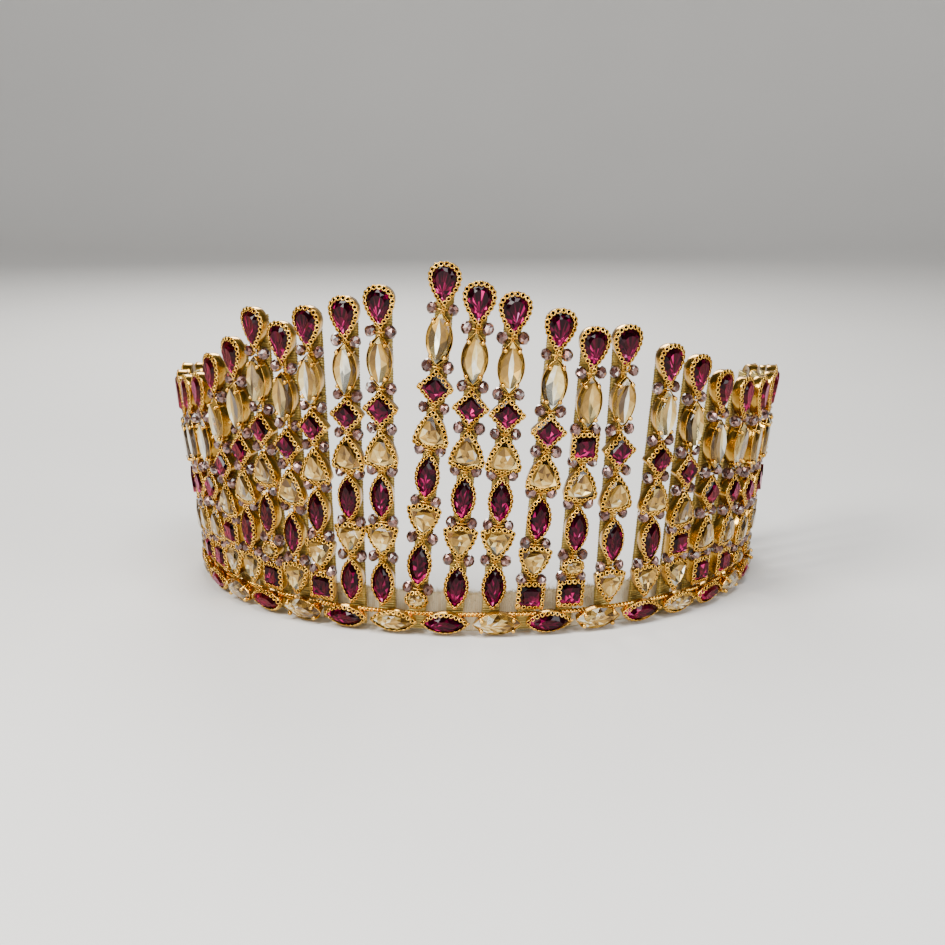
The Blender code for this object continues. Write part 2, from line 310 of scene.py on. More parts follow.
@dataclass
class Solid:
    """Points, faces and per-face values of a piece while it is being put together."""

    points: list[Array] = field(default_factory=list)
    faces: list[Array] = field(default_factory=list)
    tones_and_painted_shades: list[Array] = field(default_factory=list)
    painted_sparkles: list[Array] = field(default_factory=list)
    facets: list[Array] = field(default_factory=list)
    slots: list[Array] = field(default_factory=list)
    smooth: list[Array] = field(default_factory=list)
    count: int = 0

    def add(
        self,
        points: Array,
        faces: Sequence[Array],
        slot: int = 0,
        tone_and_painted_shade: float | Array = 0.0,
        painted_sparkle: float | Array = 0.0,
        facet: Array | None = None,
        smooth: bool = True,
    ) -> None:
        """Add one surface.

        Args:
            points: its points, in millimetres.
            faces: arrays of triangles or quads, numbered from this surface's first point.
            slot: number of its material in the piece.
            tone_and_painted_shade: tone of each point and its painted shade, 0 to 1.
            painted_sparkle: painted brightness of each face, 0 to 1, standing in for the light off
                its facets.
            facet: direction of the foil behind each face, or None for the face's own.
            smooth: True to shade it smooth.
        """
        points = np.asarray(points, dtype=float).reshape(-1, 3)
        total = sum(len(part) for part in faces)
        self.points.append(points)
        self.tones_and_painted_shades.append(np.broadcast_to(np.asarray(tone_and_painted_shade, dtype=float).ravel(), (len(points),)))
        self.painted_sparkles.append(np.broadcast_to(np.asarray(painted_sparkle, dtype=float).ravel(), (total,)))
        self.facets.append(np.zeros((total, 3)) if facet is None else facet)
        self.slots.append(np.full(total, slot))
        self.smooth.append(np.full(total, smooth))
        self.faces.extend(np.asarray(part) + self.count for part in faces)
        self.count += len(points)

    def to_piece(self, name: str, materials: Sequence[Material], slot: str, *nodes: str) -> Object:
        """Write the surfaces into one object that rides on the crown.

        Args:
            name: the piece's name.
            materials: its materials, by number.
            slot: a record's material slot; not used.
            nodes: the CAD nodes it stands for.

        Returns:
            The finished object.
        """
        mesh = bpy.data.meshes.new(name)
        sizes = np.concatenate([np.full(len(part), part.shape[1]) for part in self.faces])
        corners = np.concatenate([part.ravel() for part in self.faces])
        mesh.vertices.add(self.count)
        mesh.loops.add(len(corners))
        mesh.polygons.add(len(sizes))
        for target, key, values, kind in (
            (mesh.vertices, "co", np.concatenate(self.points) * MM, np.float32),
            (mesh.loops, "vertex_index", corners, np.int32),
            (mesh.polygons, "loop_start", np.cumsum(sizes) - sizes, np.int32),
            (mesh.polygons, "loop_total", sizes, np.int32),
            (mesh.polygons, "material_index", np.concatenate(self.slots), np.int32),
            (mesh.polygons, "use_smooth", np.concatenate(self.smooth), bool),
        ):
            target.foreach_set(key, values.astype(kind).ravel())
        mesh.update(calc_edges=True)
        # Painted light goes in as attributes: tone and painted shade per point, painted facet
        # sparkle per face.
        for title, kind, domain, key, values in (
            ("tone_and_painted_shade", "FLOAT", "POINT", "value", self.tones_and_painted_shades),
            ("painted_sparkle", "FLOAT", "FACE", "value", self.painted_sparkles),
            ("foil", "FLOAT_VECTOR", "FACE", "vector", self.facets),
        ):
            layer = mesh.attributes.new(title, kind, domain)
            layer.data.foreach_set(key, np.concatenate(values).astype(np.float32).ravel())
        for material in materials:
            mesh.materials.append(material)
        mesh.validate()
        piece = new_object(name, mesh)
        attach(piece, "root")
        if nodes:
            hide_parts(*nodes)
        LOG.info("%s: %d faces", name, len(sizes))
        return piece


@dataclass(frozen=True)
class Place:
    """A flat working plane: an origin and the directions across it, up it and out of it."""

    origin: Array
    across: Array
    up: Array
    out: Array

    def turn(self, local: Array) -> Array:
        """Turn directions of the plane into the crown's frame.

        Args:
            local: directions across, up and out.

        Returns:
            The same directions along X, Y and Z.
        """
        return local @ np.stack([self.across, self.up, self.out])

    def at(self, local: Array) -> Array:
        """Turn points of the plane into the crown's frame.

        Args:
            local: points across, up and out.

        Returns:
            The same points along X, Y and Z.
        """
        return self.origin + self.turn(local)

    def moved(self, across: float, up: float, out: float) -> Place:
        """Move the plane's origin.

        Args:
            across: distance across.
            up: distance up.
            out: distance out.

        Returns:
            The moved plane.
        """
        return Place(self.at(np.array([across, up, out])), self.across, self.up, self.out)

    def spun(self, degrees: float) -> Place:
        """Turn the plane about its outward direction.

        Args:
            degrees: how far.

        Returns:
            The turned plane.
        """
        turn = math.radians(degrees)
        across = self.across * math.cos(turn) + self.up * math.sin(turn)
        up = self.up * math.cos(turn) - self.across * math.sin(turn)
        return Place(self.origin, across, up, self.out)

    def leaned(self, one: float, two: float) -> Place:
        """Lean the plane to a side and forwards.

        Args:
            one: angle by which the direction across leans out, in radians.
            two: angle by which the direction up leans out, in radians.

        Returns:
            The leaning plane.
        """
        across = unit(self.across + self.out * math.sin(one))
        up = unit(self.up + self.out * math.sin(two))
        out = unit(np.cross(across, up))
        return Place(self.origin, np.cross(up, out), up, out)


# ---------------------------------------------------------------- outlines


@dataclass(frozen=True)
class Outline:
    """Closed outline of a stone, run clockwise from its top as a function of t from 0 to 1."""

    stone: Stone

    def curve(self, t: Array, inset: float = 0.0) -> Array:
        """Points of the outline, drawn with the inset taken off its half sizes.

        A navette is two circle arcs that meet at its tips. A pear is x = sin(2 pi t) times
        |cos(pi t)| over y = cos(2 pi t). An oval is an ellipse. The rest are polygons whose
        corners are rounded by averaging the path over a short stretch.

        Args:
            t: places along the outline, 0 to 1.
            inset: distance drawn in from the cup's edge.

        Returns:
            An array of points, across and up.
        """
        stone = self.stone
        w = stone.half_width - inset
        if stone in (Stone.NAVETTE, Stone.LONG):
            l = stone.half_length - 1.55 * inset
            y = l * np.cos(TURN * t)
            radius = (l * l + w * w) / (2.0 * w)
            x = np.sqrt(np.maximum(radius * radius - y * y, 0.0)) - (radius - w)
            return np.stack([np.where(t % 1.0 < 0.5, x, -x), y], axis=-1)
        if stone is Stone.PEAR:
            top = stone.half_length - inset
            low = -stone.half_length + 1.35 * inset
            y = (top + low) / 2.0 + (top - low) / 2.0 * np.cos(TURN * t)
            x = w / 0.7698 * np.sin(TURN * t) * np.abs(np.cos(math.pi * t))
            return np.stack([x, y], axis=-1)
        l = stone.half_length - inset
        if stone is Stone.OVAL:
            return np.stack([w * np.sin(TURN * t), l * np.cos(TURN * t)], axis=-1)
        return self._rounded(t) * np.array([w, l])

    def _rounded(self, t: Array) -> Array:
        """Polygon with soft corners.

        Args:
            t: places along the outline, 0 to 1.

        Returns:
            Points across and up, scaled to reach 1 each way.
        """
        corners, share = POLYGONS[self.stone]
        loop = np.array(corners + (corners[0],), dtype=float)
        length = np.concatenate([[0.0], np.cumsum(np.linalg.norm(np.diff(loop, axis=0), axis=1))])
        steps = 1440
        path = np.linspace(0.0, length[-1], steps, endpoint=False)
        dense = np.stack([np.interp(path, length, loop[:, axis]) for axis in (0, 1)], axis=-1)
        reach = max(1, int(steps * share / 2))
        total = sum(np.roll(dense, shift, axis=0) for shift in range(-reach, reach + 1))
        soft = total / (2 * reach + 1)
        low, high = soft.min(axis=0), soft.max(axis=0)
        soft = (soft - (low + high) / 2.0) / ((high - low) / 2.0)
        spot = (t % 1.0) * steps
        return np.stack(
            [np.interp(spot, np.arange(steps + 1), np.append(soft[:, axis], soft[0, axis]))
             for axis in (0, 1)],
            axis=-1,
        )

    def _measured(self) -> tuple[Array, Array]:
        """Measure along the outline.

        Returns:
            Places close together on it, and the length up to each.
        """
        t = np.linspace(0.0, 1.0, PATH_STEPS)
        steps = np.linalg.norm(np.diff(self.curve(t), axis=0), axis=1)
        return t, np.concatenate([[0.0], np.cumsum(steps)])

    def even(self, count: int) -> Array:
        """Places along the outline that are evenly spaced by length.

        Args:
            count: how many places.

        Returns:
            Values of t, starting at 0.
        """
        t, length = self._measured()
        return np.interp(np.arange(count) / count * length[-1], length, t)

    def perimeter(self) -> float:
        """Measure once round the outline.

        Returns:
            The length.
        """
        return float(self._measured()[1][-1])


POLYGONS = {
    Stone.DIAMOND: (((0, 1), (1, 0), (0, -1), (-1, 0)), 0.035),
    Stone.BLOCK: (((1, 1), (1, -1), (-1, -1), (-1, 1)), 0.035),
    Stone.UP: (((0, 1), (0.72, 0.12), (1, -0.80), (0, -1), (-1, -0.80), (-0.72, 0.12)), 0.10),
    Stone.DOWN: (((0, -1), (-0.72, -0.12), (-1, 0.80), (0, 1), (1, 0.80), (0.72, -0.12)), 0.10),
}
OUTLINES = {stone: Outline(stone) for stone in Stone}


# ---------------------------------------------------------------- finishes


class Nodes:
    """A material while its nodes are being put together around its Principled shader."""

    def __init__(self, name: str) -> None:
        """Start a material.

        Args:
            name: its name.
        """
        self.material = bpy.data.materials.new(name)
        self.material.use_nodes = True
        self.tree = self.material.node_tree

    def feed(self, node: Node, values: dict) -> Node:
        """Fill inputs of a node.

        Args:
            node: the node.
            values: for each input a socket to link, a number or a colour.

        Returns:
            The same node.
        """
        for key, value in values.items():
            if isinstance(value, Socket):
                self.tree.links.new(value, node.inputs[key])
            elif isinstance(value, tuple):
                node.inputs[key].default_value = (*value, 1.0)
            else:
                node.inputs[key].default_value = value
        return node

    def new(self, kind: str, values: dict) -> Node:
        """Add a node.

        Args:
            kind: Blender's name for it, after the words they all start with.
            values: what goes into its inputs.

        Returns:
            The node.
        """
        return self.feed(self.tree.nodes.new(f"ShaderNode{kind}"), values)

    def finish(self, values: dict) -> Material:
        """Fill the shader's inputs.

        Args:
            values: what goes into them.

        Returns:
            The finished material.
        """
        self.feed(self.tree.nodes["Principled BSDF"], values)
        return self.material

    def ramp(self, source: Socket, *stops: tuple[float, Triple]) -> Socket:
        """Colour ramp fed by a value.

        Args:
            source: the value.
            stops: pairs of position and colour.

        Returns:
            The ramp's colour socket.
        """
        node = self.new("ValToRGB", {"Fac": source})
        while len(node.color_ramp.elements) < len(stops):
            node.color_ramp.elements.new(0.5)
        for element, (position, colour) in zip(node.color_ramp.elements, stops):
            element.position = position
            element.color = (*colour, 1.0)
        return node.outputs["Color"]

    def noise(self, scale: float, detail: float = 3.0) -> Socket:
        """Noise over Object coordinates.

        Args:
            scale: waves per metre.
            detail: octaves.

        Returns:
            The noise's value socket.
        """
        where = self.new("TexCoord", {}).outputs["Object"]
        node = self.new("TexNoise", {"Scale": scale, "Detail": detail, "Vector": where})
        return node.outputs["Fac"]

    def attribute(self, name: str, output: str = "Fac") -> Socket:
        """One of the piece's own attributes.

        Args:
            name: the attribute's name.
            output: which of the node's sockets is wanted.

        Returns:
            The socket.
        """
        node = self.new("Attribute", {})
        node.attribute_name = name
        return node.outputs[output]

    def spread(self, source: Socket, low: float, high: float) -> Socket:
        """Value from 0 to 1 spread between two ends.

        Args:
            source: the value.
            low: what 0 becomes.
            high: what 1 becomes.

        Returns:
            The new value's socket.
        """
        node = self.new("MapRange", {"Value": source, "To Min": low, "To Max": high})
        return node.outputs["Result"]

    def mix(
        self, share: Socket | float, first: Socket | Triple,
        second: Socket | Triple, blend: str = "MIX",
    ) -> Socket:
        """Mix of two colours.

        Args:
            share: how much of the second colour.
            first: first colour.
            second: second colour.
            blend: Blender's blend name.

        Returns:
            The mixed colour's socket.
        """
        node = self.new("Mix", {})
        node.data_type = "RGBA"
        node.blend_type = blend
        return self.feed(node, {0: share, 6: first, 7: second}).outputs[2]

    def bump(self, height: Socket, strength: float, depth: float) -> Socket:
        """Bump from a height.

        Args:
            height: the height's socket.
            strength: how strongly it shows, 0 to 1.
            depth: height of a full step, in metres.

        Returns:
            The bumped normal's socket.
        """
        node = self.new("Bump", {"Height": height, "Strength": strength, "Distance": depth})
        return node.outputs["Normal"]


@dataclass(frozen=True)
class FoiledGlass:
    """Cut glass over foil: the foil's facets shine through a clear, glossy surface. Its base colour
    is painted light, from dark facets through the body colour to painted highlights and near-white
    painted glints.
    """

    name: str
    dark: Triple
    body: Triple
    bright: Triple
    painted_glint: Triple
    rim: Triple = WHITE
    metal: float = 0.95
    grain: float = 0.08
    coat: float = 1.0

    def build(self) -> Material:
        """Make the material.

        Returns:
            The finished material.
        """
        nodes = Nodes(self.name)
        # Painted light: the ramp turns each face's painted sparkle into colour, from painted shade
        # through the body colour to a painted highlight and a painted glint.
        stops = ((0.0, self.dark), (0.52, self.body), (0.86, self.bright), (1.0, self.painted_glint))
        colour = nodes.ramp(nodes.attribute("painted_sparkle"), *stops)
        cloud = nodes.ramp(nodes.noise(420.0, 2.0), (0.3, (0.72, 0.72, 0.72)), (0.7, WHITE))
        return nodes.finish({
            "Base Color": nodes.mix(1.0, colour, cloud, "MULTIPLY"),
            "Roughness": nodes.spread(nodes.noise(1500.0), self.grain, self.grain + 0.12),
            "Normal": nodes.attribute("foil", "Vector"),
            "Metallic": self.metal,
            "Specular Tint": self.rim,
            "Coat Weight": self.coat,
            "Coat Roughness": 0.03,
            "Coat IOR": 1.55,
        })


@dataclass(frozen=True)
class AntiqueGold:
    """Gold-washed metal with near-black painted shade in its hollows, fine scratches and a patchy
    polish.
    """

    name: str = "antique_gold"
    bright: Triple = (0.95, 0.56, 0.095)
    warm: Triple = (0.55, 0.27, 0.028)
    painted_hollow_shade: Triple = (0.022, 0.009, 0.002)

    def build(self) -> Material:
        """Make the material.

        Returns:
            The finished material.
        """
        nodes = Nodes(self.name)
        metal = nodes.ramp(nodes.noise(300.0), (0.35, self.warm), (0.65, self.bright))
        fine = nodes.noise(2600.0, 4.0)
        # Painted shade: the per-point shade mixes the gold towards near black in cup backs, seats
        # and lace holes.
        return nodes.finish({
            "Base Color": nodes.mix(nodes.attribute("tone_and_painted_shade"), metal, self.painted_hollow_shade),
            "Roughness": nodes.spread(fine, 0.11, 0.27),
            "Normal": nodes.bump(fine, 0.15, 0.00006),
            "Metallic": 1.0,
        })


@dataclass(frozen=True)
class WoundThread:
    """Thread laid turn against turn: fibres along each turn, a tone that changes from turn to turn,
    and painted shade in the valleys between turns.
    """

    name: str
    light: Triple
    dark: Triple
    metal: float
    roughness: float
    sheen: float
    fibre: float = 0.6

    def build(self) -> Material:
        """Make the material.

        Returns:
            The finished material.
        """
        nodes = Nodes(self.name)
        colour = nodes.ramp(nodes.attribute("tone_and_painted_shade"), (0.0, self.dark), (1.0, self.light))
        fine = nodes.noise(3800.0, 5.0)
        fibre = nodes.ramp(fine, (0.3, (0.70, 0.68, 0.62)), (0.7, WHITE))
        low, high = self.roughness - 0.12, self.roughness + 0.1
        return nodes.finish({
            "Base Color": nodes.mix(self.fibre, colour, fibre, "MULTIPLY"),
            "Roughness": nodes.spread(nodes.noise(900.0), low, high),
            "Normal": nodes.bump(fine, 0.6, 0.00012),
            "Metallic": self.metal,
            "Sheen Weight": self.sheen,
            "Sheen Roughness": 0.4,
        })


@dataclass(frozen=True)
class StudioPaper:
    """Pale seamless paper with a faint tooth."""

    name: str = "studio_paper"
    light: Triple = (0.80, 0.79, 0.77)
    dark: Triple = (0.74, 0.73, 0.71)

    def build(self) -> Material:
        """Make the material.

        Returns:
            The finished material.
        """
        nodes = Nodes(self.name)
        cloud = nodes.ramp(nodes.noise(3.0), (0.3, self.dark), (0.7, self.light))
        return nodes.finish({"Base Color": cloud, "Roughness": 0.7})


# Glass colours: each ramp runs from painted shade on the darkest facets through the body colour to
# a painted highlight and a near-white painted glint.
RUBY = FoiledGlass(
    "ruby_glass", dark=(0.010, 0.0, 0.002), body=(0.11, 0.0, 0.022), bright=(0.97, 0.008, 0.26),
    painted_glint=(1.0, 0.26, 0.62), rim=(1.0, 0.15, 0.42), coat=0.25,
)
CHAMPAGNE = FoiledGlass(
    "champagne_glass",
    dark=(0.10, 0.045, 0.004),
    body=(0.52, 0.29, 0.045),
    bright=(0.98, 0.76, 0.30),
    painted_glint=(1.0, 0.97, 0.80),
    metal=0.9,
    coat=0.5,
)
MAUVE = FoiledGlass(
    "mauve_bead_glass",
    dark=(0.035, 0.012, 0.012),
    body=(0.15, 0.062, 0.050),
    bright=(0.50, 0.29, 0.25),
    painted_glint=(1.0, 0.88, 0.86),
    metal=0.7,
    grain=0.14,
    coat=0.8,
)
GOLD_THREAD = WoundThread(
    "gold_thread", light=(0.62, 0.46, 0.12), dark=(0.10, 0.065, 0.01), metal=0.6,
    roughness=0.40, sheen=0.0,
)
CREAM_THREAD = WoundThread(
    "cream_thread", light=(1.0, 0.92, 0.70), dark=(0.74, 0.56, 0.30), metal=0.0,
    roughness=0.75, sheen=0.2,
)


# ---------------------------------------------------------------- cups, stones, beads


@dataclass(frozen=True)
class LaceRing:
    """One small ring of a lace rim: a torus seen from the front, leaning over the stone."""

    radius: float = 0.60
    wire: float = 0.225
    lean: float = 66.0
    pitch: float = 1.78
    inset: float = 0.20
    sink: float = 0.30
    around: int = 11
    through: int = 5

    def rings(
        self, edge: Array, outward: Array, along: Array, height: float
    ) -> tuple[Array, Array, Array]:
        """Rings standing on an edge and leaning inwards.

        Each ring's centre line is a circle in the plane of the edge's direction and the leaning
        direction, and its wire is a smaller circle carried round it.

        Args:
            edge: points on the edge, across and up.
            outward: outward direction at each point.
            along: direction of the edge at each point.
            height: height of the edge.

        Returns:
            Points of all rings, their faces, and the shade of each point: bright on the ring's
            front, darker in its hole and behind it.
        """
        lean = math.radians(self.lean)
        count = len(edge)
        along = np.hstack([along, np.zeros((count, 1))])
        rise = np.hstack([-outward * math.sin(lean), np.full((count, 1), math.cos(lean))])
        face = np.cross(along, rise)
        centre = np.hstack([edge, np.full((count, 1), height)]) + rise * self.radius
        wire = angles(self.through, 0.5)
        reach = (self.radius + self.wire * np.cos(wire))[:, None]
        lift = face[:, None, None] * (self.wire * np.sin(wire))[:, None]
        spoke = spokes(along, rise, angles(self.around))[:, :, None]
        points = centre[:, None, None] + spoke * reach + lift
        size = self.around * self.through
        quads = grid_quads(self.around + 1, self.through)[:, [0, 3, 2, 1]] % size
        # Painted shade round the wire: none on the ring's front, more in its hole and most behind
        # it.
        depth = np.clip(0.38 - 0.30 * np.cos(wire) + 0.46 * np.sin(wire), 0.0, 0.96)
        shade = np.tile(depth, count * self.around)
        return points.reshape(-1, 3), copies(quads, count, size), shade


BROAD_LACE = LaceRing()
SLIM_LACE = LaceRing(radius=0.54, wire=0.19, lean=44.0, pitch=1.66)
LACE = {
    stone: SLIM_LACE if stone in (Stone.NAVETTE, Stone.OVAL) else BROAD_LACE for stone in Stone
}


@dataclass(frozen=True)
class Cup:
    """Metal cup that holds one stone, with a lace rim or four ball-ended claws."""

    outline: Outline
    rim: Rim
    depth: float = 3.2
    sides: int = 36

    def wall(self) -> tuple[Array, list[Array], Array]:
        """Cup body: its outline carried through heights and insets, closed at back and seat.

        Returns:
            Points, faces and the shade of each point.
        """
        top = self.depth - (0.35 if self.rim is Rim.LACE else 0.05)
        lip = 0.0 if self.rim is Rim.LACE else -0.12
        # Height, inset and shade of each loop, from inside the back round to the stone's seat.
        levels = (
            (0.12, 1.15, 0.7), (0.0, 0.95, 0.5), (0.12, 0.78, 0.3), (top * 0.5, 0.50, 0.2),
            (top * 0.82, 0.34, 0.1), (top, 0.26 + lip, 0.0), (top + 0.10, 0.34 + lip, 0.1),
            (top + 0.02, 0.44 + lip, 0.9), (top - 0.5, 0.66, 1.0),
        )
        t = self.outline.even(self.sides)
        rows = [
            np.column_stack([self.outline.curve(t, inset), np.full(self.sides, height)])
            for height, inset, _ in levels
        ]
        shade = np.repeat([level[2] for level in levels], self.sides)
        points = np.concatenate(rows + [[[0.0, 0.0, 0.12]], [[0.0, 0.0, top - 0.5]]])
        back = self.sides * len(levels)
        faces = [
            grid_quads(len(levels), self.sides)[:, ::-1],
            fan(self.sides, 0, back, True),
            fan(self.sides, back - self.sides, back + 1, False),
        ]
        return points, faces, np.append(shade, [0.8, 1.0])

    def edge(self, count: int, inset: float) -> tuple[Array, Array, Array]:
        """Evenly spaced points on the rim.

        Args:
            count: how many.
            inset: distance drawn in from the cup's edge.

        Returns:
            The points, and the outward and forward directions at each.
        """
        t = self.outline.even(count) + 0.5 / (count * 4)
        along = unit(self.outline.curve(t + 0.004, inset) - self.outline.curve(t - 0.004, inset))
        outward = np.stack([-along[:, 1], along[:, 0]], axis=-1)
        return self.outline.curve(t, inset), outward, along

    def claws(self) -> list[tuple[Array, list[Array]]]:
        """Four claws: a bent wire from the wall over the stone's edge, ending in a ball.

        Returns:
            Points and faces of each wire and ball.
        """
        made = []
        size = np.array([self.outline.stone.half_width, self.outline.stone.half_length])
        for side in (-1.0, 1.0):
            for end in (-1.0, 1.0):
                foot = np.array([side * 0.60, end * 0.66]) * size
                inward = unit(-foot * np.array([1.0, 0.30]))
                path = np.array([
                    [*(foot + inward * reach), self.depth + rise]
                    for reach, rise in ((0.10, -1.6), (0.02, -0.3), (0.20, 0.45), (0.55, 0.78))
                ])
                made.append(tube(path, np.array([0.42, 0.42, 0.38, 0.34]), 6))
                made.append(ball(path[-1] + UPWARD * 0.05, 0.68))
        return made

    def build(self, solid: Solid, place: Place) -> None:
        """Add the cup to a piece.

        Args:
            solid: the piece being put together.
            place: plane of the cup's back.
        """
        points, faces, shade = self.wall()
        solid.add(place.at(points), faces, tone_and_painted_shade=shade)
        if self.rim is Rim.CLAWS:
            for shape, skin in self.claws():
                solid.add(place.at(shape), skin, tone_and_painted_shade=0.0)
            return
        ring = LACE[self.outline.stone]
        count = int(round(self.outline.perimeter() / ring.pitch))
        edge, outward, along = self.edge(count, ring.inset)
        points, quads, shade = ring.rings(edge, outward, along, self.depth - ring.sink)
        solid.add(place.at(points), [quads], tone_and_painted_shade=shade)


def tube(path: Array, radius: Array | float, around: int) -> tuple[Array, list[Array]]:
    """Round tube: a circle carried along a path, with a fan over each end.

    Args:
        path: points of the centre line.
        radius: radius at each point, or one for all.
        around: points in a circle.

    Returns:
        Points and faces.
    """
    along = unit(np.gradient(path, axis=0))
    upright = abs(float(along[:, 2].mean())) > 0.8
    side = unit(np.cross(along, np.array([1.0, 0.0, 0.0]) if upright else UPWARD))
    size = np.broadcast_to(radius, (len(path),))[:, None, None]
    return capped(path[:, None] + spokes(side, np.cross(along, side), angles(around)) * size)


def ball(centre: Array, radius: float) -> tuple[Array, list[Array]]:
    """Small ball: circles of latitude from one pole to the other.

    Args:
        centre: its middle.
        radius: its radius.

    Returns:
        Points and faces.
    """
    tilt = np.array([0.20, 0.40, 0.60, 0.80])[:, None] * math.pi
    turn = angles(8)
    ring = [np.sin(tilt) * np.cos(turn), np.sin(tilt) * np.sin(turn), np.cos(tilt) + 0.0 * turn]
    points = np.concatenate([np.stack(ring, axis=-1).reshape(-1, 3), [UPWARD, -UPWARD]])
    faces = [grid_quads(4, 8)[:, ::-1], fan(8, 0, 32, True), fan(8, 24, 33, False)]
    return points * radius + centre, faces


@dataclass(frozen=True)
class Cut:
    """How a kind of stone is cut.

    Its rings of facets lie in from the edge by shares of the smaller half size. The innermost ring
    is the table's outline scaled across and up, and its facets meet at the focus. The foil behind
    tips towards the middle by its steepness, with a random spread. The rest set the painted
    sparkle of each face, painted light that stands in for the light off its facets: the glow is how
    bright its middle is painted, the contrast is how much its facets' painted brightness differs,
    and the streak is the share of that difference which runs the length of the stone. The edge is
    how much darker its two sides are painted, a painted shade.
    """

    facets: int
    crown: float
    table: float
    core: tuple[float, float]
    focus: float
    steep: float
    spread: float
    glow: float
    contrast: float = 0.22
    streak: float = 0.0
    edge: float = 0.20


CUTS = {
    Stone.PEAR: Cut(16, 0.36, 0.52, (0.46, 0.50), -0.30, 0.60, 0.14, 0.40),
    Stone.LONG: Cut(8, 0.22, 0.34, (0.28, 0.84), 0.0, 0.55, 0.16, 0.66, 0.34, 0.9, 0.55),
    Stone.DIAMOND: Cut(8, 0.36, 0.46, (0.50, 0.50), -0.20, 0.50, 0.12, 0.31),
    Stone.BLOCK: Cut(8, 0.38, 0.48, (0.50, 0.50), -0.20, 0.50, 0.12, 0.30),
    Stone.UP: Cut(6, 0.32, 0.46, (0.45, 0.45), -0.22, 0.55, 0.16, 0.52, 0.30, 0.3, 0.40),
    Stone.DOWN: Cut(6, 0.32, 0.46, (0.45, 0.45), 0.16, 0.55, 0.16, 0.52, 0.30, 0.3, 0.40),
    Stone.NAVETTE: Cut(12, 0.38, 0.56, (0.34, 0.66), -0.25, 0.58, 0.12, 0.25),
    Stone.OVAL: Cut(10, 0.36, 0.54, (0.45, 0.45), -0.10, 0.60, 0.14, 0.44),
}
# Corners of the facets, run after run: the ring each is on and its step along that ring.
FACETS = (
    ((0, 1), (0, 0), (1, 0)),
    ((0, 1), (1, 0), (1, 1)),
    ((1, 1), (1, 0), (2, 0)),
    ((1, 1), (2, 0), (2, 1)),
    ((2, 0), (2, -1), (3, 0)),
    ((2, 0), (3, 0), (3, 1)),
    ((3, 1), (3, 0), (4, 0)),
    ((3, 0), (4, -1), (4, 0)),
)


